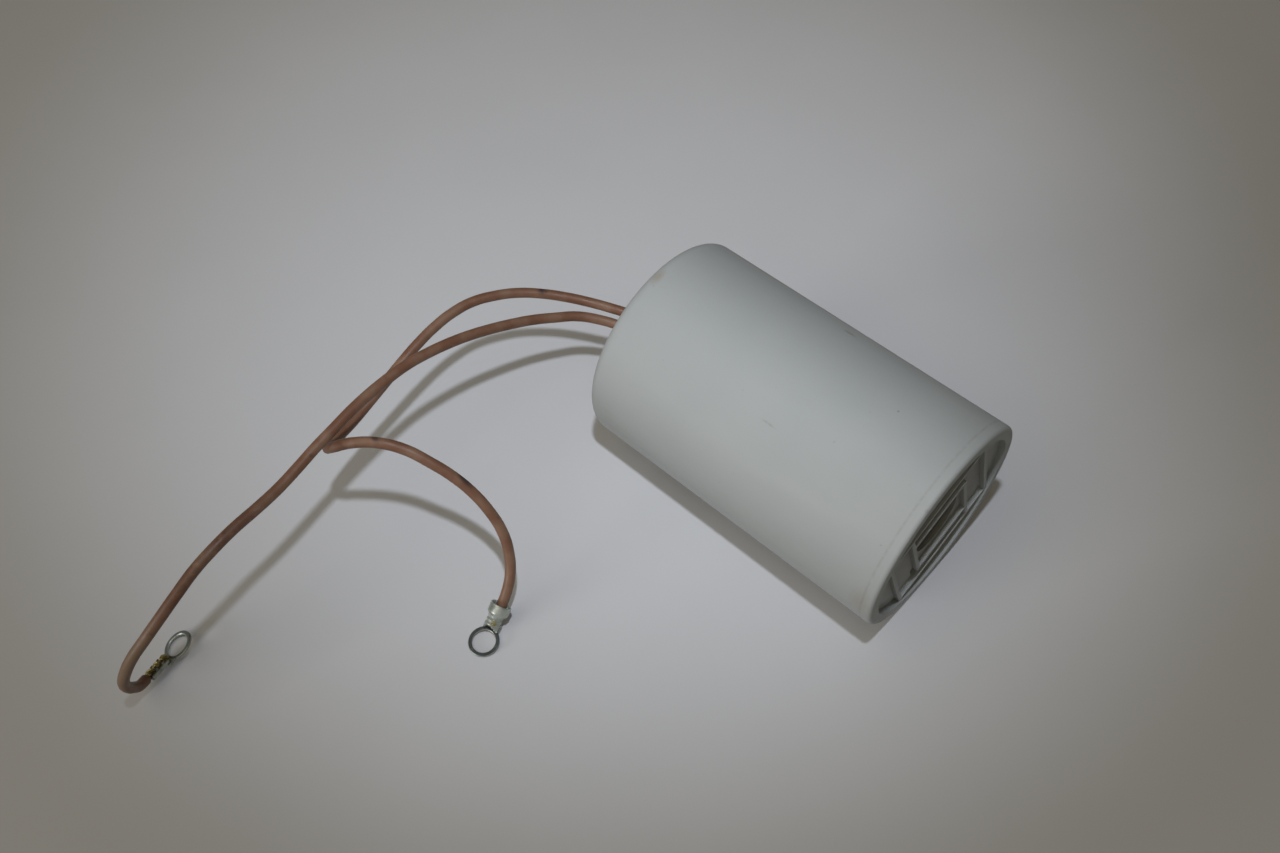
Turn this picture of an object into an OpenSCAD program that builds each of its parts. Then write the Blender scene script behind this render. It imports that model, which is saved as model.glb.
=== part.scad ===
// Motor run capacitor: round plastic can, moulded lug end, two leads with ring terminals.
// Millimetres, +Z up. The can lies on the floor and the origin is under its middle.
// +X runs along the can to the lead end, +Y points to the side where the leads lie.

/* [Can] */
// Outside diameter of the can
can_d = 50; // [45:0.5:60]
// Length of the can over both rims
can_len = 78; // [65:0.5:100]
// Rounding of the rim at the lug end
lug_round = 2; // [0.8:0.1:2.4]
// Rounding of the rim at the lead end
lead_round = 2.4; // [1:0.1:3]

/* [Lug end] */
// Width of the flat rim band round the lug end
rim_w = 3; // [2.8:0.1:3.4]
// Depth of the recess floor below the rim
recess_depth = 1.6; // [1.2:0.1:2.2]
// Depth of the rib and frame tops below the rim
frame_drop = 0.4; // [0.2:0.1:0.8]
// Turn of the moulded pattern about the can axis
pattern_turn = 22; // [0:1:45]
// Thickness of the thin moulded ribs
rib_w = 1; // [0.8:0.1:1.3]
// Distance of each chord rib from the axis
chord_at = 15.5; // [14.5:0.1:16]
// Width of the raised frame
frame_w = 18; // [17:0.5:20]
// Length of each mounting slot
slot_len = 18; // [14:0.5:19]
// Width of each mounting slot
slot_w = 4.6; // [3.5:0.1:5]
// Depth of each mounting slot below the rim
slot_depth = 4.5; // [3:0.5:6]
// Distance of each slot's centre line from the axis
slot_at = 11.8; // [11.4:0.1:12.2]
// Offset of each slot along its length, opposite for the two
slot_shift = 1; // [0:0.1:1.5]
// Diameter of the round clip socket
socket_d = 14; // [10:0.5:16]
// Depth of the clip socket below the rim
socket_depth = 6; // [4:0.5:8]

/* [Lead end] */
// Wall thickness of the can at its open end
wall = 3.4; // [3.1:0.1:4]
// Depth of the pocket that holds the resin
pocket_depth = 4; // [3.5:0.1:6]
// Depth of the resin face below the rim
seal_drop = 1.5; // [1:0.1:2]
// Height of the resin edge that creeps up the wall
seal_creep = 0.5; // [0.2:0.1:0.8]
// Radial clearance of the resin seal in its pocket
seal_fit = 0.05; // [0.02:0.01:0.1]

/* [Leads and terminals] */
// Outside diameter of each lead
lead_d = 2.4; // [2.2:0.1:2.8]
// Diameter of the bare strand bundle
strand_d = 1.6; // [1.2:0.1:1.7]
// Radial clearance of the strands in a barrel
strand_fit = 0.05; // [0.02:0.01:0.1]
// Outside diameter of the ring tongue
ring_d = 6.9; // [6.6:0.1:8]
// Hole in the ring tongue
ring_hole = 5.2; // [4.2:0.1:5.4]
// Thickness of the terminal sheet
sheet = 0.6; // [0.5:0.1:0.7]
// Width of the neck behind each ring
neck_w = 3.2; // [2.6:0.1:3.4]
// Outside diameter of the closed crimp barrel
barrel_d = 3.5; // [3.3:0.1:4]
// Outside diameter of the barrel's bell mouth
bell_d = 4.8; // [4.6:0.1:5.4]
// Wall thickness of the bell mouth
bell_wall = 0.45; // [0.4:0.05:0.6]
// Depth of the two pressed crimp marks
crimp_depth = 0.35; // [0.2:0.05:0.45]
// Width of the open gap along the top of the open barrel
wing_gap = 1.2; // [0.8:0.1:1.4]

/* [Hidden] */
$fn = 48;
can_r = can_d / 2;
half_len = can_len / 2;
// overlap where shapes fuse, and overrun of the cutting shapes
lap = 0.2;
corner_steps = 6;

rim_in_r = can_r - rim_w;
bar_w = 1.1 * rib_w;
rib_h = recess_depth - frame_drop;
frame_len = 2 * (slot_at + slot_w / 2 + rib_w);
cell_len = 2 * (slot_at - slot_w / 2 - bar_w);
cell_w = frame_w - 2 * rib_w;

pocket_r = can_r - wall;
seal_r = pocket_r - seal_fit;
seal_face_x = half_len - seal_drop;

lead_sides = 8;
near_exit = [-3, can_r - 0.4];
far_exit = [1.9, can_r - 2.1];

// way of the near lead, its x measured from the resin face: it passes under the far one and comes back
near_way = [
    [0, near_exit[0], near_exit[1]],
    [5.2, -1.6, 24.7],
    [10.5, 0.1, 25.2],
    [15.6, 2.4, 25.8],
    [20.6, 5.1, 26.5],
    [25.1, 8.1, 27.3],
    [29.1, 11.7, 28.4],
    [32.6, 15.9, 29.5],
    [35.2, 20.7, 30.5],
    [37.1, 25.8, 31.2],
    [37.9, 31.2, 31.4],
    [38, 36.8, 31.1],
    [37.6, 42.4, 30.4],
    [37.1, 47.9, 29.2],
    [36.6, 53.4, 27.7],
    [35.8, 58.8, 26.4],
    [34.5, 64, 26],
    [32.6, 69.1, 27],
    [30.1, 73, 29.7],
    [27.1, 74.1, 33.7],
    [23.2, 71.9, 36.7],
    [18.8, 68.6, 37.4],
    [14.2, 65.6, 36.2],
    [9.5, 63.4, 33.8],
    [5.1, 61.5, 30.8],
    [1.1, 60.2, 27.3],
    [-2.7, 59.6, 23.4],
    [-6.1, 59.7, 19.2],
    [-8.9, 60.9, 14.9],
    [-11, 63, 10.9],
    [-12.2, 65.5, 8.1],
    [-12.8, 67.8, 6.1],
    [-13.1, 69.4, 5]
];
// way of the far lead: it arches over and drops to its own ring
far_way = [
    [0, far_exit[0], far_exit[1]],
    [6.2, 2, 22.7],
    [11.7, 3.2, 23],
    [16.1, 5.7, 24],
    [19.7, 9.2, 25.4],
    [22.4, 13.8, 26.8],
    [24.6, 18.7, 28.5],
    [26.3, 23.9, 30.2],
    [27.6, 29.1, 31.9],
    [28.7, 34.5, 33.5],
    [29.4, 40, 35],
    [29.8, 45.5, 36.3],
    [29.8, 51, 37.5],
    [29.3, 56.5, 38.4],
    [28.7, 62, 39],
    [28, 67.5, 39.2],
    [27.2, 73, 39],
    [26.5, 78.5, 38.6],
    [25.6, 84.1, 38.1],
    [24.7, 89.6, 37.9],
    [23.8, 95.3, 38.4],
    [23.1, 100.9, 38.9],
    [22.4, 106.3, 38.8],
    [22.1, 111.6, 37.5],
    [22, 116.6, 35],
    [22.3, 121.5, 31.7],
    [22.9, 125.9, 28.2],
    [24, 129.5, 24.3],
    [25.3, 132.1, 19.7],
    [26.7, 133.5, 14.8],
    [27.8, 133.3, 10.7],
    [29.1, 132.5, 7.4],
    [30.1, 131.3, 4.8],
    [31, 129.7, 3.7]
];
near_route = [for (p = near_way) p + [seal_face_x, 0, 0]];
far_route = [for (p = far_way) p + [seal_face_x, 0, 0]];

// turn of each barrel: roll about its axis, rise to the lead and heading in plan; bend of the ring behind it
near_roll = 0;
near_rise = 36;
near_heading = -80;
near_bend = 29;
far_roll = 25;
far_rise = 10;
far_heading = 107;
far_bend = 17;

// both barrels are measured along their axis from the line where the ring is bent
neck_reach = ring_d / 2 - lap;
neck_to = 1.6;

// closed barrel of the near terminal
barrel_from = 1.2;
barrel_to = 3.4;
bell_from = 4.2;
bell_to = 6.2;
lead_seat = 4.4;
barrel_lift = barrel_d / 2 - sheet / 2;
barrel_bore_r = strand_d / 2 + strand_fit;
crimp_r = 0.9;
crimp_at = [1.8, 2.8];

// open barrel of the far terminal: a half pipe, with two pairs of wings between its open stretches
trough_from = 1;
trough_to = 5.8;
wing_open = [[trough_from - lap, 1.9], [2.5, 3.7], [4.3, trough_to + lap]];
wing_seat = 6.8;
wing_lift = sheet / 2 + strand_d / 2 + strand_fit;
wing_r = wing_lift + sheet / 2;
strand_end = 0.3;

function unit(v) = v / norm(v);

// points of a quarter-turn corner round centre c, in the half plane of the can's profile
function corner(c, r, from, to) =
    [for (i = [0 : corner_steps]) let (a = from + (to - from) * i / corner_steps) c + r * [cos(a), sin(a)]];

// direction from a ring's centre to its lead
function heading(turn, rise) = [cos(rise) * cos(turn), cos(rise) * sin(turn), sin(rise)];

// direction of a route at each point, with the first and the last one given
function directions(p, first, last) =
    [for (i = [0 : len(p) - 1])
        i == 0 ? first : i == len(p) - 1 ? last : unit(unit(p[i + 1] - p[i]) + unit(p[i] - p[i - 1]))];

// side vectors carried along a route without twist
function sides_along(t, n, i = 0) =
    i == len(t) ? [] : let (m = unit(n - (n * t[i]) * t[i])) concat([m], sides_along(t, m, i + 1));

function tube_points(p, t, n, r) =
    [for (i = [0 : len(p) - 1]) for (k = [0 : lead_sides - 1])
        let (a = 360 * k / lead_sides) p[i] + r * (cos(a) * n[i] + sin(a) * cross(t[i], n[i]))];

function tube_faces(count) = concat(
    [[for (k = [0 : lead_sides - 1]) k]],
    [[for (k = [0 : lead_sides - 1]) count * lead_sides - 1 - k]],
    [for (i = [0 : count - 2]) for (k = [0 : lead_sides - 1])
        let (a = i * lead_sides + k, b = i * lead_sides + (k + 1) % lead_sides)
        each [[a, a + lead_sides, b + lead_sides], [a, b + lead_sides, b]]]);

module lead_tube(route, last) {
    t = directions(route, [1, 0, 0], last);
    n = sides_along(t, [0, 0, 1]);
    polyhedron(tube_points(route, t, n, lead_d / 2), tube_faces(len(route)));
}

// places a terminal so that its lead seat meets the end of the route
module at_lead_end(route, roll, rise, turn, seat, lift) {
    translate(route[len(route) - 1])
        rotate([roll, -rise, turn])
            translate([-seat, 0, -lift])
                children();
}

// the can lies along X with its lug end at -X
module lie_down() {
    translate([0, 0, can_r])
        rotate([0, 90, 0])
            children();
}

// the lug pattern: its face lies at z = 0 and the can behind it at +z
module lug_face() {
    translate([0, 0, -half_len])
        rotate([0, 0, -pattern_turn])
            children();
}

module can_shell() {
    rotate_extrude($fn = 96)
        polygon(concat(
            [[0, recess_depth - half_len], [rim_in_r, recess_depth - half_len], [rim_in_r, -half_len]],
            corner([can_r - lug_round, lug_round - half_len], lug_round, -90, 0),
            corner([can_r - lead_round, half_len - lead_round], lead_round, 0, 90),
            [[pocket_r, half_len], [pocket_r, half_len - pocket_depth], [0, half_len - pocket_depth]]));
}

// a slab as high as the ribs that reaches into the recess floor
module rib_slab(size, at) {
    translate([at[0] - size[0] / 2, at[1] - size[1] / 2, frame_drop])
        cube([size[0], size[1], rib_h + lap]);
}

// two long ribs from rim to rim, two cross walls between them and the frame block in the middle
module lug_ribs() {
    intersection() {
        cylinder(r = rim_in_r + lap, h = recess_depth + lap, $fn = 96);
        union() {
            for (s = [-1, 1]) {
                rib_slab([can_d, rib_w], [0, s * chord_at]);
                rib_slab([rib_w, 2 * chord_at], [s * (frame_len - rib_w) / 2, 0]);
            }
            rib_slab([frame_len, frame_w], [0, 0]);
        }
    }
}

module lug_cuts() {
    for (s = [-1, 1])
        translate([s * slot_at - slot_w / 2, s * slot_shift - slot_len / 2, -lap])
            cube([slot_w, slot_len, slot_depth + lap]);
    translate([-cell_len / 2, -cell_w / 2, -lap])
        cube([cell_len, cell_w, recess_depth + lap]);
    translate([0, 0, -lap])
        cylinder(d = socket_d, h = socket_depth + lap);
}

module case() {
    color([0.70, 0.72, 0.69])
        lie_down()
            difference() {
                union() {
                    can_shell();
                    lug_face() lug_ribs();
                }
                lug_face() lug_cuts();
            }
}

module end_seal() {
    color([0.62, 0.63, 0.60])
        lie_down()
            rotate_extrude($fn = 96)
                polygon(concat(
                    [[0, half_len - pocket_depth], [seal_r, half_len - pocket_depth]],
                    corner([seal_r - seal_creep, seal_face_x + seal_creep], seal_creep, 0, -90),
                    [[0, seal_face_x]]));
}

module lead_near() {
    color([0.53, 0.41, 0.36])
        lead_tube(near_route, -heading(near_heading, near_rise));
}

module lead_far() {
    color([0.53, 0.41, 0.36])
        lead_tube(far_route, -heading(far_heading, far_rise));
}

// flat ring with its neck, bent down from the barrel behind it, and the floor where the barrel begins
module bent_ring(bend) {
    rotate([0, bend, 0])
        translate([-neck_reach, 0, 0])
            difference() {
                union() {
                    cylinder(d = ring_d, h = sheet, center = true);
                    translate([0, -neck_w / 2, -sheet / 2])
                        cube([neck_reach, neck_w, sheet]);
                }
                cylinder(d = ring_hole, h = sheet + 2 * lap, center = true);
            }
    rotate([90, 0, 0])
        cylinder(d = sheet, h = neck_w, center = true);
    translate([0, -neck_w / 2, -sheet / 2])
        cube([neck_to, neck_w, sheet]);
}

// closed barrel that opens into a bell mouth; the lead's end seats on the step inside
module bell_barrel() {
    translate([0, 0, barrel_lift])
        rotate([0, 90, 0])
            rotate_extrude()
                polygon([
                    [barrel_bore_r, barrel_from],
                    [barrel_d / 2, barrel_from],
                    [barrel_d / 2, barrel_to],
                    [bell_d / 2, bell_from],
                    [bell_d / 2, bell_to],
                    [bell_d / 2 - bell_wall, bell_to],
                    [lead_d / 2 + lap, lead_seat],
                    [barrel_bore_r, lead_seat]]);
}

module terminal_near() {
    color([0.60, 0.60, 0.58])
        at_lead_end(near_route, near_roll, near_rise, near_heading, lead_seat, barrel_lift)
            difference() {
                union() {
                    bent_ring(near_bend);
                    bell_barrel();
                }
                for (x = crimp_at)
                    translate([x, 0, barrel_lift + barrel_d / 2 + crimp_r - crimp_depth])
                        rotate([90, 0, 0])
                            cylinder(r = crimp_r, h = barrel_d + 2 * lap, center = true);
            }
}

// a half pipe under the strands and two pairs of wings curled over them, with a gap along the top
module open_trough() {
    translate([0, 0, wing_lift])
        rotate([0, 90, 0])
            difference() {
                translate([0, 0, trough_from])
                    cylinder(r = wing_r, h = trough_to - trough_from);
                cylinder(r = strand_d / 2 + strand_fit, h = trough_to + lap);
                translate([-2 * wing_r, -wing_gap / 2, 0])
                    cube([2 * wing_r, wing_gap, trough_to + lap]);
                for (w = wing_open)
                    translate([-2 * wing_r, -2 * wing_r, w[0]])
                        cube([2 * wing_r, 4 * wing_r, w[1] - w[0]]);
            }
}

module terminal_far() {
    color([0.60, 0.60, 0.58])
        at_lead_end(far_route, far_roll, far_rise, far_heading, wing_seat, wing_lift) {
            bent_ring(far_bend);
            open_trough();
        }
}

module strands_near() {
    color([0.72, 0.48, 0.25])
        at_lead_end(near_route, near_roll, near_rise, near_heading, lead_seat, barrel_lift)
            translate([barrel_from - lap, 0, barrel_lift])
                rotate([0, 90, 0])
                    cylinder(d = strand_d, h = lead_seat - barrel_from + lap);
}

module strands_far() {
    color([0.72, 0.48, 0.25])
        at_lead_end(far_route, far_roll, far_rise, far_heading, wing_seat, wing_lift)
            translate([strand_end, 0, wing_lift])
                rotate([0, 90, 0])
                    cylinder(d = strand_d, h = wing_seat - strand_end);
}

case();
end_seal();
lead_near();
lead_far();
terminal_near();
terminal_far();
strands_near();
strands_far();
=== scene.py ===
import math
import bmesh
import bpy
from mathutils import Matrix, Vector


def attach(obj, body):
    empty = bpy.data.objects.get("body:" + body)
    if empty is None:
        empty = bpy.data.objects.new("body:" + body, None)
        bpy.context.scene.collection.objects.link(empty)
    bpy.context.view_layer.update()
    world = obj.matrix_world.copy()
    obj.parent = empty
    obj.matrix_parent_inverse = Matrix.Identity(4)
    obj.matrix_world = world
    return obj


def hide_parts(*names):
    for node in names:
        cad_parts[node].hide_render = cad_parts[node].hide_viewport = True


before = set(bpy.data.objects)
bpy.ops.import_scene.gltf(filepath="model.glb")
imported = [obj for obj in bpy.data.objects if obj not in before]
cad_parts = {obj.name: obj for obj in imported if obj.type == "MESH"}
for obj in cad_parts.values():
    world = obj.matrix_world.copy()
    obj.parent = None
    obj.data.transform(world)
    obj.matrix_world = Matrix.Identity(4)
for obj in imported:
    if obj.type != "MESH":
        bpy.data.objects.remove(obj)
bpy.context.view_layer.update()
scene = bpy.context.scene
mm = 0.001
print("frame loaded:", len(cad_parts), "solids")


# camera at the photo's place, level with the horizon
shot = {
    "eye": (-79.1, 138.1, 241.1), "forward": (0.3915, -0.4331, -0.8118),
    "focal": 1209.3, "frameWide": 1280, "sensor": 36, "nearest": 0.01,
}


def placeCamera():
    lens = bpy.data.cameras.new("shotLens")
    lens.sensor_width = shot["sensor"]
    lens.lens = shot["focal"] * shot["sensor"] / shot["frameWide"]
    lens.clip_start = shot["nearest"]
    eye = bpy.data.objects.new("shotCamera", lens)
    eye.location = Vector(shot["eye"]) * mm
    eye.rotation_euler = Vector(shot["forward"]).to_track_quat("-Z", "Y").to_euler()
    scene.collection.objects.link(eye)
    scene.camera = eye


placeCamera()
print("camera placed")


# node helpers: each one returns the output socket that carries its result
def newMaterial(name):
    mat = bpy.data.materials.new(name)
    mat.use_nodes = True
    return mat, mat.node_tree, mat.node_tree.nodes["Principled BSDF"]


def objectCoords(tree):
    return tree.nodes.new("ShaderNodeTexCoord").outputs["Object"]


def stretched(tree, coords, scale, shift=(0, 0, 0)):
    node = tree.nodes.new("ShaderNodeMapping")
    node.inputs["Scale"].default_value = scale
    node.inputs["Location"].default_value = shift
    tree.links.new(coords, node.inputs["Vector"])
    return node.outputs["Vector"]


def noise(tree, coords, scale, detail, rough=0.55):
    node = tree.nodes.new("ShaderNodeTexNoise")
    node.inputs["Scale"].default_value = scale
    node.inputs["Detail"].default_value = detail
    node.inputs["Roughness"].default_value = rough
    tree.links.new(coords, node.inputs["Vector"])
    return node.outputs["Fac"]


def ranged(tree, value, low, high, outLow=0.0, outHigh=1.0):
    node = tree.nodes.new("ShaderNodeMapRange")
    node.interpolation_type = "SMOOTHSTEP"
    limits = {"From Min": low, "From Max": high, "To Min": outLow, "To Max": outHigh}
    for name, number in limits.items():
        node.inputs[name].default_value = number
    tree.links.new(value, node.inputs["Value"])
    return node.outputs["Result"]


def combined(tree, operation, first, second):
    node = tree.nodes.new("ShaderNodeMath")
    node.operation = operation
    for socket, value in zip(node.inputs, (first, second)):
        if isinstance(value, (int, float)):
            socket.default_value = value
        else:
            tree.links.new(value, socket)
    return node.outputs["Value"]


def blended(tree, mask, under, over):
    node = tree.nodes.new("ShaderNodeMix")
    node.data_type = "RGBA"
    for socket, value in ((node.inputs[0], mask), (node.inputs[6], under), (node.inputs[7], over)):
        if isinstance(value, tuple):
            socket.default_value = value + (1.0,)
        else:
            tree.links.new(value, socket)
    return node.outputs[2]


# a soft spot round a point, stretched by its three radii in millimetres
def spot(tree, coords, centre, radii, edge):
    scale = tuple(1 / (r * mm) for r in radii)
    shift = tuple(-c * mm * s for c, s in zip(centre, scale))
    local = stretched(tree, coords, scale, shift=shift)
    node = tree.nodes.new("ShaderNodeVectorMath")
    node.operation = "LENGTH"
    tree.links.new(local, node.inputs[0])
    return ranged(tree, node.outputs["Value"], 1.0, 1.0 - edge)


# marks of one tone laid over a colour; each is a centre, radii and a strength
def marked(tree, coords, colour, marks, tone, edge, ragged=None):
    for centre, radii, strength in marks:
        patch = combined(tree, "MULTIPLY", spot(tree, coords, centre, radii, edge), strength)
        if ragged:
            patch = combined(tree, "MULTIPLY", patch, ragged)
        colour = blended(tree, patch, colour, tone)
    return colour


def bumped(tree, bsdf, height, distance, strength=0.5):
    node = tree.nodes.new("ShaderNodeBump")
    node.inputs["Strength"].default_value = strength
    node.inputs["Distance"].default_value = distance
    tree.links.new(height, node.inputs["Height"])
    tree.links.new(node.outputs["Normal"], bsdf.inputs["Normal"])


# off-white moulded plastic with faint mottling, handling marks, a painted shade band along the crease,
# two tan stains, dirt with painted shade in the recess and a darker painted shade in the socket and
# slots
plasticLook = {
    "base": (0.356, 0.369, 0.361),
    "cool": (0.341, 0.356, 0.350),
    "grimeAndShade": (0.162, 0.143, 0.113),
    "tan": (0.287, 0.243, 0.184),
    "marks": [
        ((-1.7, -13.5, 46), (2.2, 0.8, 0.9), 0.55),
        ((-38.7, 12.6, 46.6), (0.7, 0.6, 0.6), 0.9),
        ((-2.9, 15.5, 44.6), (2.6, 0.3, 0.4), 0.3),
        ((-22.1, -0.6, 50), (0.4, 0.4, 0.4), 0.5),
        # painted shade: a thin dark band right round the can along the crease by the lug end
        ((-36.5, 0, 25), (0.4, 900, 900), 0.16),
    ],
    "stains": [
        ((36.9, 4.1, 49.6), (1.6, 3.2, 1.6), 0.6),
        ((-36, 24.8, 24), (3.5, 3, 7), 0.35),
    ],
    "dirtAndShade": [
        # dirt with painted shade over the lug recess under the rim
        ((0.162, 0.135, 0.09), [((-36.9, 0, 25), (1.9, 22.4, 22.4), 0.32)]),
        # painted shade darkening the deep socket and slots
        ((0.08, 0.068, 0.042), [((-33.4, 0, 25), (3.9, 17, 17), 0.85)]),
    ],
}


def casePlastic():
    mat, tree, bsdf = newMaterial("casePlastic")
    coords = objectCoords(tree)
    mottle = ranged(tree, noise(tree, coords, 45, 3), 0.3, 0.75)
    colour = blended(tree, mottle, plasticLook["base"], plasticLook["cool"])
    colour = marked(tree, coords, colour, plasticLook["stains"], plasticLook["tan"], edge=0.9)
    speck = ranged(tree, noise(tree, coords, 700, 2), 0.74, 0.80, 0.0, 0.3)
    colour = blended(tree, speck, colour, plasticLook["grimeAndShade"])
    # dirt and painted shade in the recess, darker painted shade in the socket and slots
    for tone, darkenedSpots in plasticLook["dirtAndShade"]:
        colour = marked(tree, coords, colour, darkenedSpots, tone, edge=0.4)
    ragged = ranged(tree, noise(tree, coords, 900, 3), 0.3, 0.6)
    # handling marks, and the painted shade band along the crease, all in one dark tone
    marks, tone = plasticLook["marks"], plasticLook["grimeAndShade"]
    colour = marked(tree, coords, colour, marks, tone, edge=0.7, ragged=ragged)
    tree.links.new(colour, bsdf.inputs["Base Color"])
    rub = noise(tree, stretched(tree, coords, (60, 400, 400)), 1.0, 4)
    tree.links.new(ranged(tree, rub, 0.3, 0.75, 0.5, 0.64), bsdf.inputs["Roughness"])
    bsdf.inputs["Specular IOR Level"].default_value = 0.25
    waves = combined(tree, "MULTIPLY", noise(tree, coords, 120, 3), 2.0)
    grain = combined(tree, "ADD", noise(tree, coords, 2600, 2), waves)
    bumped(tree, bsdf, grain, 0.00001)
    return mat


# cast resin, cloudy, slightly glossy and uneven
resinLook = {"base": (0.353, 0.36, 0.33), "cloud": (0.28, 0.287, 0.265)}


def sealResin():
    mat, tree, bsdf = newMaterial("sealResin")
    coords = objectCoords(tree)
    cloud = ranged(tree, noise(tree, coords, 140, 4), 0.35, 0.7)
    colour = blended(tree, cloud, resinLook["base"], resinLook["cloud"])
    tree.links.new(colour, bsdf.inputs["Base Color"])
    gloss = ranged(tree, noise(tree, coords, 300, 3), 0.3, 0.7, 0.22, 0.4)
    tree.links.new(gloss, bsdf.inputs["Roughness"])
    bumped(tree, bsdf, noise(tree, coords, 180, 3), 0.0002)
    return mat


# soft brown insulation with lighter rubs, paler tan towards the far end, dark scuffs and painted shade
# in the same dark tone
insulationLook = {
    "base": (0.165, 0.0765, 0.0435),
    "rubbed": (0.219, 0.125, 0.079),
    "scuffAndShadeTone": (0.046, 0.025, 0.022),
    "paleTan": (0.185, 0.128, 0.083),
    # the far lead paler and tanner towards its end
    "paledFarEnd": [((63.5, 128, 20), (14, 13, 17), 0.75)],
    "scuffsAndShade": [
        ((56.8, 68.7, 38.4), (1.9, 1.1, 0.9), 0.8),
        ((41.2, 60.1, 30.1), (4.0, 1.45, 3.2), 0.95),
        ((66.3, 11.3, 29.4), (1.8, 1.8, 0.8), 0.9),
        # painted shade: a broad darker stretch of the far lead
        ((60, 108, 37), (16, 27, 16), 0.35),
        # painted shadow in the gap between the two leads by the can
        ((52, 3, 24.5), (2.0, 1.2, 1.2), 0.5),
        # painted shade darkening the far lead's end by its terminal
        ((68.6, 129.4, 4.0), (2.2, 2.2, 2.2), 0.4),
    ],
}


def leadInsulation():
    mat, tree, bsdf = newMaterial("leadInsulation")
    coords = objectCoords(tree)
    rub = ranged(tree, noise(tree, coords, 180, 3), 0.35, 0.7)
    colour = blended(tree, rub, insulationLook["base"], insulationLook["rubbed"])
    speck = ranged(tree, noise(tree, coords, 420, 4, 0.6), 0.66, 0.74, 0.0, 0.4)
    colour = blended(tree, speck, colour, insulationLook["scuffAndShadeTone"])
    colour = marked(tree, coords, colour, insulationLook["paledFarEnd"], insulationLook["paleTan"], edge=0.6)
    ragged = ranged(tree, noise(tree, coords, 800, 3), 0.28, 0.52)
    # dark scuffs, and painted shade and shadow laid in the same dark tone
    scuffsAndShade, tone = insulationLook["scuffsAndShade"], insulationLook["scuffAndShadeTone"]
    colour = marked(tree, coords, colour, scuffsAndShade, tone, edge=0.8, ragged=ragged)
    tree.links.new(colour, bsdf.inputs["Base Color"])
    gloss = ranged(tree, noise(tree, coords, 500, 3), 0.3, 0.7, 0.42, 0.56)
    tree.links.new(gloss, bsdf.inputs["Roughness"])
    bsdf.inputs["Specular IOR Level"].default_value = 0.35
    bumped(tree, bsdf, noise(tree, coords, 700, 3), 0.00006)
    return mat


# tinned sheet: dull grey with streaks, a darker ring with a painted highlight on its inner edge,
# painted shade on the far wings and the brass showing through
tinLook = {
    "near": {
        "tin": (0.46, 0.49, 0.44), "dull": (0.28, 0.30, 0.265),
        # edge: the ring's inner edge, painted lighter as a painted highlight
        "ring": (0.066, 0.076, 0.074), "edge": (0.38, 0.37, 0.34), "centre": (23.37, 75.24, 0.85),
        "wearAndShade": [((0.35, 0.295, 0.13), [((23.1, 72.0, 4.8), (0.7, 0.7, 0.7), 1)])],
    },
    "far": {
        "tin": (0.40, 0.42, 0.39), "dull": (0.22, 0.243, 0.22),
        # edge: the ring's inner edge, painted lighter as a painted highlight
        "ring": (0.19, 0.213, 0.20), "edge": (0.44, 0.456, 0.41), "centre": (71.26, 120.37, 1.80),
        "wearAndShade": [
            # painted shade: the two pairs of wings painted near-black
            ((0.08, 0.068, 0.037), [((70.4, 125.3, 4.2), (1.5, 1.5, 1.5), 1),
                                    ((69.9, 127.0, 4.5), (1.5, 1.5, 1.5), 1)]),
            ((0.295, 0.25, 0.10), [((69.9, 123.6, 2.2), (0.8, 0.8, 0.8), 1)]),
        ],
    },
    "ringRadius": 3.5, "highlightRadius": 2.72,
}


def tinnedMetal(name, look):
    mat, tree, bsdf = newMaterial(name)
    coords = objectCoords(tree)
    dull = ranged(tree, noise(tree, coords, 520, 4), 0.42, 0.66)
    colour = blended(tree, dull, look["tin"], look["dull"])
    ragged = ranged(tree, noise(tree, coords, 1500, 3), 0.3, 0.5)
    # brass showing through, and on the far terminal painted shade on the wings
    for tone, toneSpots in look["wearAndShade"]:
        colour = marked(tree, coords, colour, toneSpots, tone, edge=0.25, ragged=ragged)
    ring = spot(tree, coords, look["centre"], (tinLook["ringRadius"],) * 3, edge=0.06)
    rubbed = ranged(tree, noise(tree, coords, 700, 3), 0.58, 0.85)
    colour = blended(tree, ring, colour, blended(tree, rubbed, look["ring"], look["dull"]))
    # painted highlight: the ring's inner edge in a lighter tin
    innerEdgeHighlight = spot(tree, coords, look["centre"], (tinLook["highlightRadius"],) * 3, edge=0.03)
    colour = blended(tree, innerEdgeHighlight, colour, look["edge"])
    tree.links.new(colour, bsdf.inputs["Base Color"])
    bsdf.inputs["Metallic"].default_value = 0.55
    streak = noise(tree, stretched(tree, coords, (900, 300, 900)), 1.0, 4)
    tree.links.new(ranged(tree, streak, 0.3, 0.7, 0.3, 0.5), bsdf.inputs["Roughness"])
    bumped(tree, bsdf, noise(tree, coords, 900, 3), 0.00005)
    return mat


# tarnished strands, olive-brown with dark grooves
strandLook = {"bright": (0.37, 0.295, 0.11), "tarnish": (0.118, 0.094, 0.044)}


def copperStrands():
    mat, tree, bsdf = newMaterial("copperStrands")
    coords = objectCoords(tree)
    age = ranged(tree, noise(tree, coords, 800, 3), 0.42, 0.66)
    colour = blended(tree, age, strandLook["bright"], strandLook["tarnish"])
    tree.links.new(colour, bsdf.inputs["Base Color"])
    bsdf.inputs["Metallic"].default_value = 0.6
    gloss = ranged(tree, noise(tree, coords, 1400, 3), 0.3, 0.7, 0.3, 0.55)
    tree.links.new(gloss, bsdf.inputs["Roughness"])
    bumped(tree, bsdf, noise(tree, coords, 2500, 2), 0.00003)
    return mat


finish = {
    "case_plastic": casePlastic(),
    "seal_resin": sealResin(),
    "lead_insulation": leadInsulation(),
    "near_tin": tinnedMetal("nearTin", tinLook["near"]),
    "far_tin": tinnedMetal("farTin", tinLook["far"]),
    "copper_strands": copperStrands(),
}
print("finishes ready:", len(finish))


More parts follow.
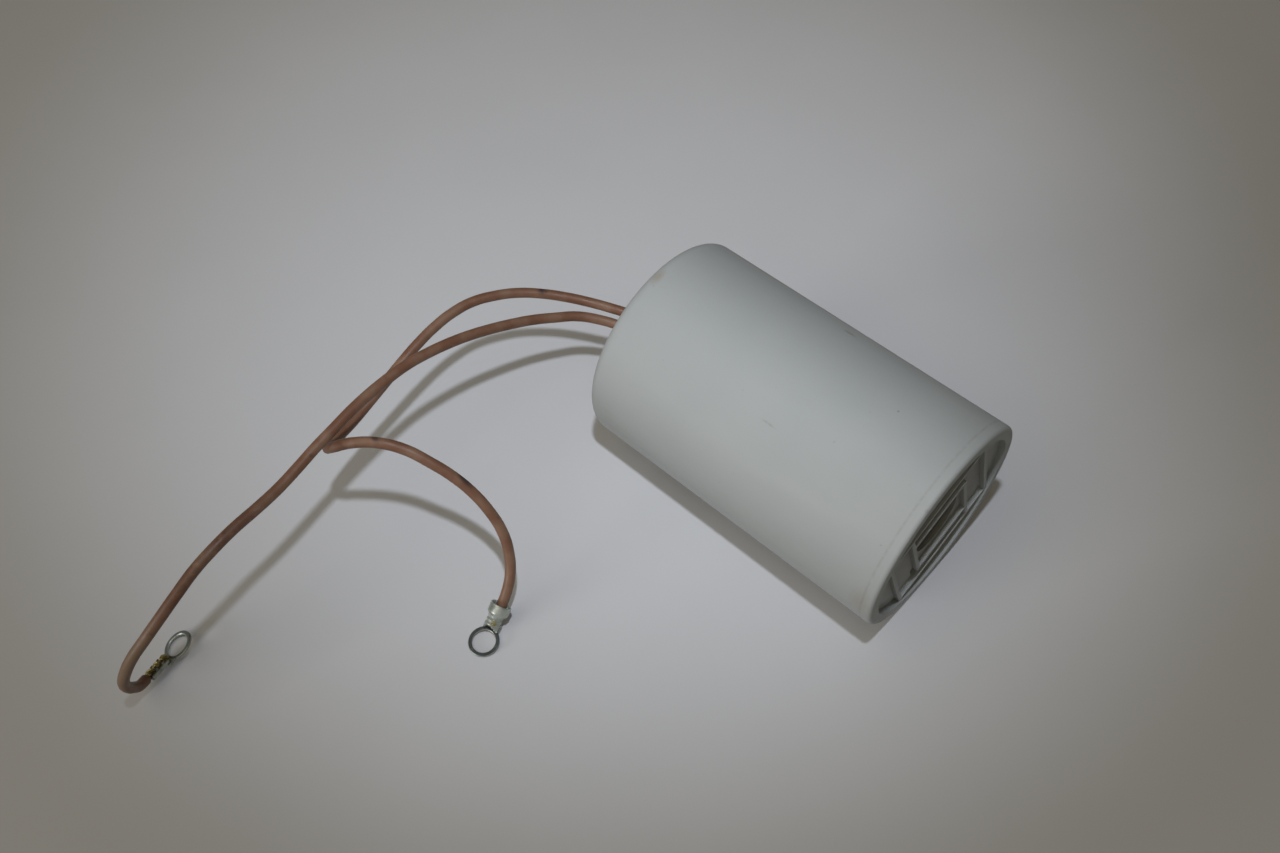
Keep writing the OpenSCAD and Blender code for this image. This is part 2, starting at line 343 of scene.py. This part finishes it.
sharpAngle = math.radians(35)


# a finished mesh rides on the root body and stands for its solid
def addPiece(name, bm, look, node):
    bmesh.ops.remove_doubles(bm, verts=bm.verts, dist=1e-7)
    bmesh.ops.recalc_face_normals(bm, faces=bm.faces)
    mesh = bpy.data.meshes.new(name)
    bm.to_mesh(mesh)
    bm.free()
    mesh.shade_smooth()
    mesh.set_sharp_from_angle(angle=sharpAngle)
    mesh.materials.append(finish[look])
    piece = bpy.data.objects.new(name, mesh)
    scene.collection.objects.link(piece)
    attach(piece, "root")
    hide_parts(node)
    return piece


def softEdges(piece, width):
    soften = piece.modifiers.new("softEdges", "BEVEL")
    soften.width = width
    soften.segments = 2
    soften.limit_method = "ANGLE"
    soften.angle_limit = sharpAngle
    soften.harden_normals = True


def roundEdges(bm, edges, size, steps=2):
    bmesh.ops.bevel(bm, geom=edges, offset=size * mm, offset_type="OFFSET", segments=steps,
                    profile=0.5, affect="EDGES", material=-1)


def newVerts(result):
    return [g for g in result["geom"] if isinstance(g, bmesh.types.BMVert)]


def newEdges(result):
    return [g for g in result["geom"] if isinstance(g, bmesh.types.BMEdge)]


# a loop of edges grows to a new radius and height round the local z axis
def growLoop(bm, edges, ratio, rise):
    grown = bmesh.ops.extrude_edge_only(bm, edges=edges)
    move = Matrix.Translation((0, 0, rise)) @ Matrix.Diagonal((ratio, ratio, 1, 1))
    bmesh.ops.transform(bm, matrix=move, verts=newVerts(grown))
    return newEdges(grown)


# can with its moulded lug end: the pattern is cut into a disc, raised and sunk, and the disc's edge
# grows into the can
can = {
    "radius": 25, "length": 78, "lugRound": 0.9, "leadRound": 2.4, "roundSteps": 8, "sides": 128,
    "turn": 22, "rimWidth": 3, "recess": 1.6, "ribHeight": 1.2, "ribWidth": 1, "barWidth": 1.1,
    "chordAt": 15.5, "frameWidth": 18, "slotAt": 11.8, "slotWidth": 4.6, "slotLength": 18,
    "slotShift": 1, "slotDepth": 4.5, "socketRadius": 7, "socketDepth": 6, "socketSides": 32,
    "socketInset": 0.2, "wall": 3.4, "pocket": 4, "seam": 0.05, "edge": 0.14,
    "creaseAt": 2.5, "creaseHalf": 0.2, "creaseDepth": 0.06, "hold": 0.15,
}


def lugPattern(bm):
    slotHalf, rib = can["slotWidth"] / 2 * mm, can["ribWidth"] * mm
    slotIn, slotOut = can["slotAt"] * mm - slotHalf, can["slotAt"] * mm + slotHalf
    wallOut, cellEnd = slotOut + rib, slotIn - can["barWidth"] * mm
    chordIn, chordOut = can["chordAt"] * mm - rib / 2, can["chordAt"] * mm + rib / 2
    frameOut = can["frameWidth"] / 2 * mm
    frameIn = frameOut - rib
    slotShort = (can["slotLength"] / 2 - can["slotShift"]) * mm
    slotLong = (can["slotLength"] / 2 + can["slotShift"]) * mm
    cuts = (
        (Vector((1, 0, 0)), (slotIn, slotOut, wallOut, cellEnd)),
        (Vector((0, 1, 0)), (chordIn, chordOut, frameOut, frameIn, slotShort, slotLong)),
    )
    for normal, places in cuts:
        for place in sorted({round(p, 6) for p in places}):
            for side in (-1, 1):
                everything = bm.verts[:] + bm.edges[:] + bm.faces[:]
                bmesh.ops.bisect_plane(bm, geom=everything, dist=1e-6,
                                       plane_co=normal * place * side, plane_no=normal)
    ribs, slots, cell = [], [], []
    for face in bm.faces:
        spotAt = face.calc_center_median()
        along, across = abs(spotAt.x), abs(spotAt.y)
        sideways = spotAt.y if spotAt.x > 0 else -spotAt.y
        if slotIn < along < slotOut and -slotShort < sideways < slotLong:
            slots.append(face)
        elif along < cellEnd and across < frameIn:
            cell.append(face)
        elif chordIn < across < chordOut or (slotOut < along < wallOut and across < chordOut):
            ribs.append(face)
        elif along < wallOut and frameIn < across < frameOut:
            ribs.append(face)
        elif cellEnd < along < slotIn and across < frameOut:
            ribs.append(face)
    return ribs, slots, cell


# the faces move to a new depth and walls grow at their border
def sinkFaces(bm, faces, depth):
    sunk = bmesh.ops.extrude_face_region(bm, geom=faces)
    bmesh.ops.translate(bm, verts=newVerts(sunk), vec=(0, 0, depth))
    bmesh.ops.delete(bm, geom=faces, context="FACES")


def clipSocket(bm, cell):
    edges = list({e for f in cell for e in f.edges})
    bmesh.ops.subdivide_edges(bm, edges=edges, cuts=can["socketSides"] // 4 - 1)
    bmesh.ops.inset_region(bm, faces=cell, thickness=can["socketInset"] * mm)
    for vert in cell[0].verts:
        flat = Vector((vert.co.x, vert.co.y, 0)).normalized() * can["socketRadius"] * mm
        vert.co.x, vert.co.y = flat.x, flat.y
    sinkFaces(bm, cell, (can["socketDepth"] - can["recess"]) * mm)


def ringEdges(bm, radius, height):
    def onRing(vert):
        return abs(vert.co.z - height) < 1e-6 and abs(vert.co.xy.length - radius) < 0.0001
    return [e for e in bm.edges if all(onRing(v) for v in e.verts)]


def buildCan():
    radius, length = can["radius"] * mm, can["length"] * mm
    rimIn = radius - can["rimWidth"] * mm
    pocketRadius = radius - can["wall"] * mm
    recess = can["recess"] * mm
    start = rimIn - can["seam"] * mm
    bm = bmesh.new()
    floorAt = Matrix.Translation((0, 0, recess))
    bmesh.ops.create_circle(bm, cap_ends=True, segments=can["sides"], radius=start, matrix=floorAt)
    ribs, slots, cell = lugPattern(bm)
    clipSocket(bm, cell)
    sinkFaces(bm, slots, (can["slotDepth"] - can["recess"]) * mm)
    loop = [e for e in bm.edges if e.is_boundary]
    pinch = 1 - can["creaseDepth"] / can["radius"]
    half, hold = can["creaseHalf"], can["hold"]
    lugStop, creaseStart = can["lugRound"] + hold, can["creaseAt"] - half
    creaseStop, leadStart = can["creaseAt"] + half, can["length"] - can["leadRound"] - hold
    side = (
        (1, lugStop), (1, creaseStart - hold - lugStop), (1, hold), (pinch, half), (1 / pinch, half),
        (1, hold), (1, leadStart - creaseStop - hold), (1, can["length"] - leadStart),
    )
    steps = [(rimIn / start, 0), (1, -recess), (radius / rimIn, 0)]
    steps += [(ratio, rise * mm) for ratio, rise in side]
    steps += [(pocketRadius / radius, 0), (1, -can["pocket"] * mm)]
    for ratio, rise in steps:
        loop = growLoop(bm, loop, ratio, rise)
    bmesh.ops.edgeloop_fill(bm, edges=loop)
    sinkFaces(bm, ribs, -can["ribHeight"] * mm)
    for height, size in ((0, can["lugRound"]), (length, can["leadRound"])):
        roundEdges(bm, ringEdges(bm, radius, height), size, can["roundSteps"])
    lieDown = Matrix.Translation((0, 0, radius)) @ Matrix.Rotation(math.pi / 2, 4, "Y")
    turned = Matrix.Rotation(-math.radians(can["turn"]), 4, "Z")
    toMiddle = Matrix.Translation((0, 0, -length / 2))
    bmesh.ops.transform(bm, matrix=lieDown @ toMiddle @ turned, verts=bm.verts)
    piece = addPiece("canBody", bm, "case_plastic", "case")
    softEdges(piece, can["edge"] * mm)


buildCan()
print("can built")


# resin face with a creeping edge and a low collar round each lead
seal = {
    "radius": 21.55, "back": 35, "face": 37.5, "sides": 96,
    "sag": 0.12, "sagFrom": 0.8, "sagFull": 0.4,
    "creep": 0.5, "creepWide": 1.6, "creepTurns": (0.4, 0.8, 1.2, 1.5),
    "exits": ((-3, 24.6), (1.9, 22.9)), "leadRadius": 1.2, "collarSides": 32,
    "collar": ((-0.4, 0.7), (1.0, 0.98), (0.45, 1.3), (0.12, 1.9), (-0.4, 2.4)),
}


# a chain of points makes a full turn round an axis
def spinChain(bm, points, axis, centre, steps):
    verts = [bm.verts.new(p) for p in points]
    edges = [bm.edges.new(pair) for pair in zip(verts, verts[1:])]
    bmesh.ops.spin(bm, geom=verts + edges, cent=centre, axis=axis, dvec=(0, 0, 0), angle=2 * math.pi,
                   steps=steps, use_merge=True, use_duplicate=False)


def buildSeal():
    bm = bmesh.new()
    back, face, radius = seal["back"] * mm, seal["face"] * mm, seal["radius"] * mm
    creep, low = seal["creep"] * mm, face - seal["sag"] * mm
    axisZ = can["radius"] * mm
    profile = [(back, 0), (back, radius), (face + creep, radius)]
    for turn in seal["creepTurns"]:
        inward = creep * seal["creepWide"] * (1 - math.cos(turn))
        profile.append((face + creep * (1 - math.sin(turn)), radius - inward))
    profile += [(face, radius * seal["sagFrom"]), (low, radius * seal["sagFull"]), (low, 0)]
    spinChain(bm, [(x, 0, axisZ + r) for x, r in profile], (1, 0, 0), (0, 0, axisZ), seal["sides"])
    inner = seal["leadRadius"] * mm
    collar = [(face + rise * mm, inner * ratio) for rise, ratio in seal["collar"]]
    for y, z in seal["exits"]:
        points = [(x, y * mm, z * mm + r) for x, r in collar]
        spinChain(bm, points, (1, 0, 0), (0, y * mm, z * mm), seal["collarSides"])
    addPiece("resinSeal", bm, "seal_resin", "end_seal")


buildSeal()
print("seal built")


# a terminal is made lying along x from the line where its ring is bent, then set at the lead's end
terminal = {
    "ring": 3.45, "hole": 2.6, "sheet": 0.6, "neck": 3.2, "reach": 3.25, "tongue": 1.6,
    "ringRim": 0.14, "ringSides": 64, "neckGap": 0.1, "neckEdge": 0.1,
    "knuckleSides": 24, "knuckleEdge": 0.08, "curlRim": 0.08, "curlSteps": 32,
}


def setAtLead(bm, spec):
    turned = (Matrix.Rotation(math.radians(spec["turn"]), 4, "Z")
              @ Matrix.Rotation(-math.radians(spec["rise"]), 4, "Y")
              @ Matrix.Rotation(math.radians(spec["roll"]), 4, "X"))
    seat = Matrix.Translation((-spec["seat"] * mm, 0, -spec["lift"] * mm))
    place = Matrix.Translation(Vector(spec["end"]) * mm) @ turned @ seat
    bmesh.ops.transform(bm, matrix=place, verts=bm.verts)


# a flat block of the neck's width along x
def neckBlock(bm, start, stop):
    block = bmesh.ops.create_cube(bm, size=1)["verts"]
    size = Vector((stop - start, terminal["neck"], terminal["sheet"])) * mm
    bmesh.ops.scale(bm, vec=size, verts=block)
    bmesh.ops.translate(bm, vec=((start + stop) / 2 * mm, 0, 0), verts=block)
    roundEdges(bm, list({e for v in block for e in v.link_edges}), terminal["neckEdge"])


# ring and shank swing down round a knuckle, and a tongue leads from it into the barrel
def bentRing(bm, bend):
    before = set(bm.verts)
    half, rim = terminal["sheet"] / 2 * mm, terminal["ringRim"] * mm
    inner, outer, flat = terminal["hole"] * mm, terminal["ring"] * mm, half - rim
    section = [
        (inner, -flat), (inner, flat), (inner + rim, half), (outer - rim, half), (outer, flat),
        (outer, -flat), (outer - rim, -half), (inner + rim, -half), (inner, -flat),
    ]
    spinChain(bm, [(r, 0, z) for r, z in section], (0, 0, 1), (0, 0, 0), terminal["ringSides"])
    neckBlock(bm, terminal["hole"] + terminal["neckGap"], terminal["reach"])
    ring = [v for v in bm.verts if v not in before]
    toBend = Matrix.Translation((-terminal["reach"] * mm, 0, 0))
    bmesh.ops.transform(bm, matrix=Matrix.Rotation(math.radians(bend), 4, "Y") @ toBend, verts=ring)
    knuckle = bmesh.ops.create_cone(bm, cap_ends=True, segments=terminal["knuckleSides"],
                                    radius1=half, radius2=half, depth=terminal["neck"] * mm,
                                    matrix=Matrix.Rotation(math.pi / 2, 4, "X"))["verts"]
    edges = {e for v in knuckle for e in v.link_edges}
    ends = [e for e in edges if abs(e.verts[0].co.y - e.verts[1].co.y) < 1e-6]
    roundEdges(bm, ends, terminal["knuckleEdge"])
    neckBlock(bm, 0, terminal["tongue"])


# a stretch of bent sheet round the barrel's axis, open at the top
def curledSheet(bm, lift, start, stop, sweep, inner, outer):
    rim = terminal["curlRim"]
    corners = [
        (start, inner + rim), (start, outer - rim), (start + rim, outer), (stop - rim, outer),
        (stop, outer - rim), (stop, inner + rim), (stop - rim, inner), (start + rim, inner),
    ]
    verts = [bm.verts.new((x * mm, 0, lift - r * mm)) for x, r in corners]
    face = bm.faces.new(verts)
    half = math.radians(sweep / 2)
    bmesh.ops.rotate(bm, cent=(0, 0, lift), matrix=Matrix.Rotation(-half, 3, "X"), verts=verts)
    bmesh.ops.spin(bm, geom=[face] + verts + list(face.edges), cent=(0, 0, lift), axis=(1, 0, 0),
                   dvec=(0, 0, 0), angle=2 * half, steps=terminal["curlSteps"],
                   use_merge=False, use_duplicate=False)


# closed barrel with two pressed rings and a bell mouth, its floor rolled up in steps behind the ring
nearTerminal = {
    "end": (24.4, 69.4, 5), "roll": 0, "rise": 36, "turn": -80, "bend": 29, "seat": 4.4, "lift": 1.45,
    "profile": [
        (1.2, 0.85), (1.2, 1.6), (1.3, 1.74), (1.5, 1.75), (1.65, 1.64), (1.8, 1.52), (1.95, 1.64),
        (2.1, 1.75), (2.5, 1.75), (2.65, 1.64), (2.8, 1.52), (2.95, 1.64), (3.1, 1.75), (3.4, 1.78),
        (3.6, 1.92), (4.0, 2.28), (4.2, 2.38), (4.5, 2.40), (5.9, 2.38), (6.12, 2.36), (6.2, 2.22),
        (6.12, 2.02), (5.9, 1.97), (5.2, 1.8), (4.4, 1.45), (4.4, 0.85), (1.2, 0.85),
    ],
    "sides": 48, "rollUp": ((0.0, 0.5, 190), (0.42, 0.9, 250), (0.82, 1.3, 300)),
    "rollInner": 1.2, "rollOuter": 1.74, "strands": (1.0, 4.4), "swells": (),
}


def buildNearTerminal():
    spec = nearTerminal
    bm = bmesh.new()
    bentRing(bm, spec["bend"])
    lift = spec["lift"] * mm
    points = [(x * mm, 0, lift + r * mm) for x, r in spec["profile"]]
    spinChain(bm, points, (1, 0, 0), (0, 0, lift), spec["sides"])
    for start, stop, sweep in spec["rollUp"]:
        curledSheet(bm, lift, start, stop, sweep, spec["rollInner"], spec["rollOuter"])
    setAtLead(bm, spec)
    return addPiece("nearTerminal", bm, "near_tin", "terminal_near")


# half pipe under the strands with two pairs of wings curled over them
farTerminal = {
    "end": (68.5, 129.7, 3.7), "roll": 25, "rise": 10, "turn": 107, "bend": 17,
    "seat": 6.8, "lift": 1.15, "inner": 0.86,
    "spans": ((1.0, 5.8, 182, 1.45), (1.9, 2.5, 305, 1.08), (3.7, 4.3, 305, 1.08)),
    "strands": (0.3, 6.8), "swells": ((0.5, 1.9), (2.5, 3.7), (4.3, 6.2)),
}


def buildFarTerminal():
    spec = farTerminal
    bm = bmesh.new()
    bentRing(bm, spec["bend"])
    for start, stop, sweep, outer in spec["spans"]:
        curledSheet(bm, spec["lift"] * mm, start, stop, sweep, spec["inner"], outer)
    setAtLead(bm, spec)
    return addPiece("farTerminal", bm, "far_tin", "terminal_far")


# bare strands twisted round a middle one, by so many degrees per pitch
strands = {
    "count": 7, "radius": 0.25, "circle": 0.53, "core": 0.38, "sides": 8, "steps": 56,
    "twist": 260, "pitch": 6, "swell": 0.42, "swellRise": 0.4, "swellSide": 0.7,
}


# the upper half of the strands swells between the wings that hold them
def swellStrands(bm, lift, spans):
    for vert in bm.verts:
        up = min(max((vert.co.z - lift) / (strands["swellRise"] * mm), 0), 1)
        for start, stop in spans:
            along = (vert.co.x / mm - start) / (stop - start)
            if 0 < along < 1:
                grow = strands["swell"] * up * math.sqrt(math.sin(math.pi * along))
                vert.co.y *= 1 + grow * strands["swellSide"]
                vert.co.z = lift + (vert.co.z - lift) * (1 + grow)


def strandBundle(name, spec, node):
    bm = bmesh.new()
    lift = spec["lift"] * mm
    start, stop = spec["strands"]
    step = (stop - start) * mm / strands["steps"]
    twist = math.radians(strands["twist"]) * (stop - start) / strands["pitch"]
    upright = Matrix.Rotation(math.pi / 2, 4, "Y")
    for i in range(strands["count"] + 1):
        turn = 2 * math.pi * i / strands["count"]
        away = strands["circle"] * mm if i < strands["count"] else 0
        thick = strands["radius"] if away else strands["core"]
        middle = (start * mm, away * math.cos(turn), lift + away * math.sin(turn))
        made = bmesh.ops.create_circle(bm, cap_ends=True, segments=strands["sides"], radius=thick * mm,
                                       matrix=Matrix.Translation(middle) @ upright)["verts"]
        faces = list({f for v in made for f in v.link_faces})
        edges = list({e for v in made for e in v.link_edges})
        bmesh.ops.spin(bm, geom=faces + made + edges, cent=(0, 0, lift), axis=(1, 0, 0),
                       dvec=(step, 0, 0), angle=twist, steps=strands["steps"],
                       use_merge=False, use_duplicate=False)
    swellStrands(bm, lift, spec["swells"])
    setAtLead(bm, spec)
    return addPiece(name, bm, "copper_strands", node)


nearPieces = [buildNearTerminal(), strandBundle("nearStrands", nearTerminal, "strands_near")]
farPieces = [buildFarTerminal(), strandBundle("farStrands", farTerminal, "strands_far")]
print("terminals built")


# the two leads, each a smooth curve through its route in millimetres
leadThickness = 2.4
leadSteps = {"round": 5, "along": 8}
nearLead = {
    "length": 0.17,
    "route": [
        (37.5, -3, 24.6), (42.7, -1.6, 24.7), (48, 0.1, 25.2), (53.1, 2.4, 25.8), (58.1, 5.1, 26.5),
        (62.6, 8.1, 27.3), (66.6, 11.7, 28.4), (70.1, 15.9, 29.5), (72.7, 20.7, 30.5),
        (74.6, 25.8, 31.2), (75.4, 31.2, 31.4), (75.5, 36.8, 31.1), (75.1, 42.4, 30.4),
        (74.6, 47.9, 29.2), (74.1, 53.4, 27.7), (73.5, 58.9, 26.4), (72.4, 64.4, 26),
        (70.8, 69.7, 27), (68.4, 73.7, 29.7), (65, 74.5, 33.7), (60.7, 71.9, 36.7),
        (56.3, 68.6, 37.4), (51.7, 65.6, 36.2), (47, 63.4, 33.8), (42.6, 61.5, 30.8),
        (38.6, 60.2, 27.3), (34.8, 59.6, 23.4), (31.4, 59.7, 19.2), (28.6, 60.9, 14.9),
        (26.5, 63, 10.9), (25.3, 65.5, 8.1), (24.7, 67.8, 6.1), (24.4, 69.4, 5),
    ],
}
farLead = {
    "length": 0.1755,
    "route": [
        (37.5, 1.9, 22.9), (43.7, 2, 22.7), (49.2, 3.2, 23), (53.6, 5.7, 24), (57.2, 9.2, 25.4),
        (59.9, 13.8, 26.8), (62.1, 18.7, 28.5), (63.8, 23.9, 30.2), (65.1, 29.1, 31.9),
        (66.2, 34.5, 33.5), (66.9, 40, 35), (67.3, 45.5, 36.3), (67.3, 51, 37.5),
        (66.8, 56.5, 38.4), (66.2, 62, 39), (65.5, 67.5, 39.2), (64.7, 73, 39), (64, 78.5, 38.6),
        (63.1, 84.1, 38.1), (62.2, 89.6, 37.9), (61.3, 95.3, 38.4), (60.6, 100.9, 38.9),
        (59.9, 106.3, 38.8), (59.6, 111.6, 37.5), (59.5, 116.6, 35), (59.8, 121.5, 31.7),
        (60.4, 125.9, 28.2), (61.5, 129.5, 24.3), (62.8, 132.1, 19.7), (64.2, 133.5, 14.8),
        (65.3, 133.3, 10.7), (66.6, 132.5, 7.4), (67.6, 131.3, 4.8), (68.5, 129.7, 3.7),
    ],
}


def buildLead(name, spec, node):
    line = bpy.data.curves.new(name, "CURVE")
    line.dimensions = "3D"
    line.bevel_depth = leadThickness / 2 * mm
    line.bevel_resolution = leadSteps["round"]
    line.resolution_u = leadSteps["along"]
    line.use_fill_caps = True
    spline = line.splines.new("BEZIER")
    spline.bezier_points.add(len(spec["route"]) - 1)
    for point, place in zip(spline.bezier_points, spec["route"]):
        point.co = Vector(place) * mm
        point.handle_left_type = point.handle_right_type = "AUTO"
    line.materials.append(finish["lead_insulation"])
    piece = bpy.data.objects.new(name, line)
    scene.collection.objects.link(piece)
    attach(piece, "root")
    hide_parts(node)


buildLead("nearLead", nearLead, "lead_near")
buildLead("farLead", farLead, "lead_far")
print("leads laid")


# pale floor and plain light: a small lamp above the camera, a far low panel and a higher one, both
# on the leads' side, and a weak sky
studio = {
    "floor": (0.585, 0.585, 0.60), "paler": 1.03, "floorRough": 0.85, "floorShine": 0.2, "floorHalf": 2,
    "sky": (1.0, 0.91, 0.72), "skyLevel": 0.098,
    "lamp": {
        "at": (-50, 104, 372), "aim": (76, -27, 0), "radius": 0.008, "power": 3.2,
        "tint": (0.82, 0.885, 1.0), "beam": 53, "blend": 1.0,
    },
    "panels": [
        {"at": (1020, 3800, 860), "aim": (20, 40, 20), "size": 1.6, "power": 58,
         "tint": (0.98, 0.985, 1.0)},
        {"at": (60, 900, 1500), "aim": (0, 0, 0), "size": 1.2, "power": 5.7,
         "tint": (1.0, 0.925, 0.74)},
    ],
}


def addLight(name, kind, spec):
    light = bpy.data.lights.new(name, kind)
    light.energy = spec["power"]
    light.color = spec["tint"]
    holder = bpy.data.objects.new(name, light)
    holder.location = Vector(spec["at"]) * mm
    toward = Vector(spec["aim"]) - Vector(spec["at"])
    holder.rotation_euler = toward.to_track_quat("-Z", "Y").to_euler()
    scene.collection.objects.link(holder)
    return light


def buildStudio():
    bm = bmesh.new()
    bmesh.ops.create_grid(bm, x_segments=2, y_segments=2, size=studio["floorHalf"])
    mesh = bpy.data.meshes.new("floor")
    bm.to_mesh(mesh)
    bm.free()
    mat, tree, bsdf = newMaterial("paleFloor")
    coords = objectCoords(tree)
    cloud = ranged(tree, noise(tree, coords, 14, 4), 0.3, 0.7)
    paler = tuple(c * studio["paler"] for c in studio["floor"])
    tree.links.new(blended(tree, cloud, studio["floor"], paler), bsdf.inputs["Base Color"])
    bsdf.inputs["Roughness"].default_value = studio["floorRough"]
    bsdf.inputs["Specular IOR Level"].default_value = studio["floorShine"]
    mesh.materials.append(mat)
    ground = bpy.data.objects.new("floor", mesh)
    scene.collection.objects.link(ground)
    lamp = addLight("lamp", "SPOT", studio["lamp"])
    lamp.shadow_soft_size = studio["lamp"]["radius"]
    lamp.spot_size = math.radians(studio["lamp"]["beam"])
    lamp.spot_blend = studio["lamp"]["blend"]
    for spec in studio["panels"]:
        addLight("panel", "AREA", spec).size = spec["size"]
    sky = bpy.data.worlds.new("sky")
    sky.use_nodes = True
    back = sky.node_tree.nodes["Background"]
    back.inputs["Color"].default_value = studio["sky"] + (1.0,)
    back.inputs["Strength"].default_value = studio["skyLevel"]
    scene.world = sky
    scene.view_settings.view_transform = "Standard"


buildStudio()
print("studio lit")
